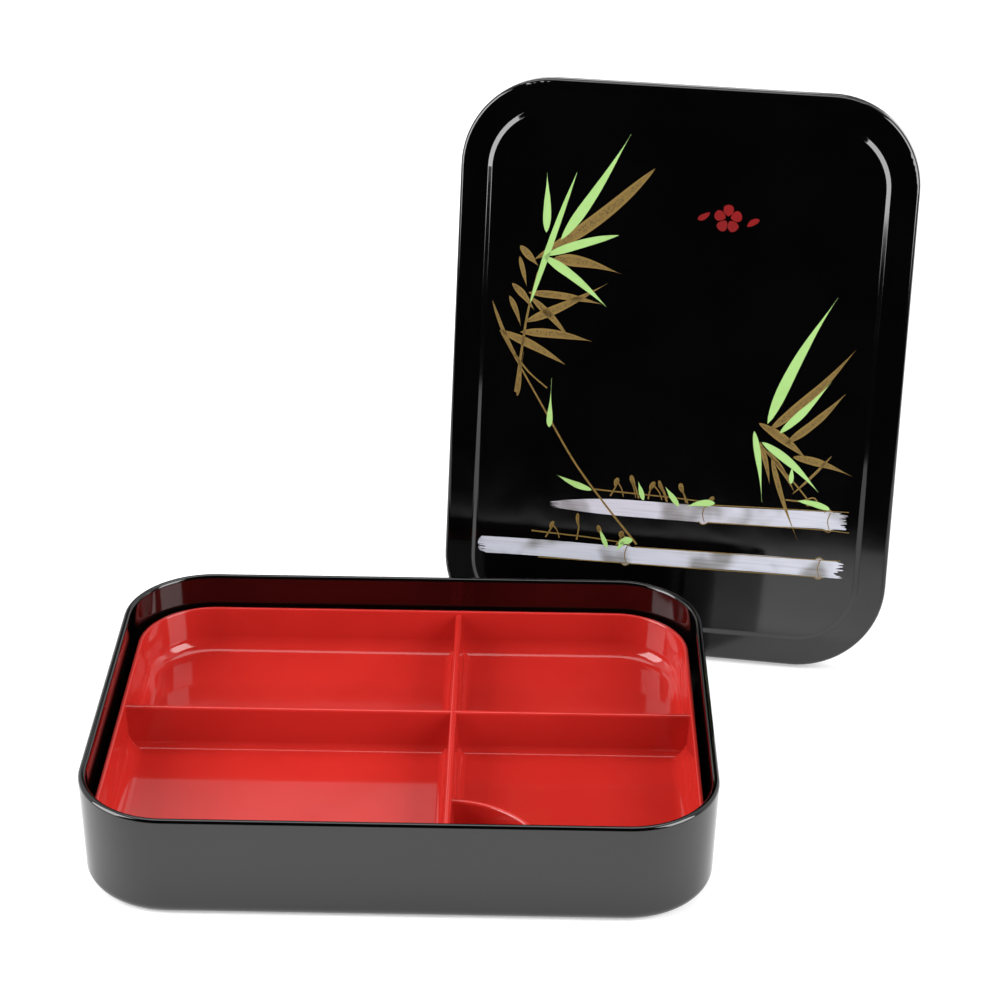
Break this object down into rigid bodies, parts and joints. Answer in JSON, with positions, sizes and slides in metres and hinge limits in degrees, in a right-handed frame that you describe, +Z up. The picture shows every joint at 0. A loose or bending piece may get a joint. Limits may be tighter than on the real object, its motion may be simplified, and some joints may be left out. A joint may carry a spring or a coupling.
{
  "type": "bento lunch box",
  "caption": "Rectangular lacquered lunch box with a lift-out tray divided into compartments and a lift-off lid standing on edge behind the case.",
  "frame": {"origin": "centre of the case's foot, on the surface that the box stands on", "axes": "+X along the long side of the case, to the right as seen from the front; +Y from the front of the case to its back, where the lid stands; +Z up"},
  "size_m": [0.3624, 0.2913, 0.2672],
  "materials": {
    "black_lacquer": "polished black lacquer",
    "red_plastic": "glossy moulded red",
    "green_print": "screen print on the lid, pale leaf green",
    "gold_print": "screen print on the lid, dusted gold",
    "silver_print": "screen print on the lid, silver white",
    "red_print": "screen print on the lid, lacquer red"
  },
  "bodies": {
    "case": {"case": "black_lacquer"},
    "tray": {"tray": "red_plastic"},
    "lid": {"lid": "black_lacquer"}
  },
  "joints": [
    {"name": "tray_lift", "type": "slide", "parent": "case", "child": "tray", "axis": [0, 0, 1], "range_m": [0, 0.06]},
    {"name": "lid_lift", "type": "slide", "parent": "case", "child": "lid", "axis": [0, 0, 1], "range_m": [0, 0.12]}
  ]
}
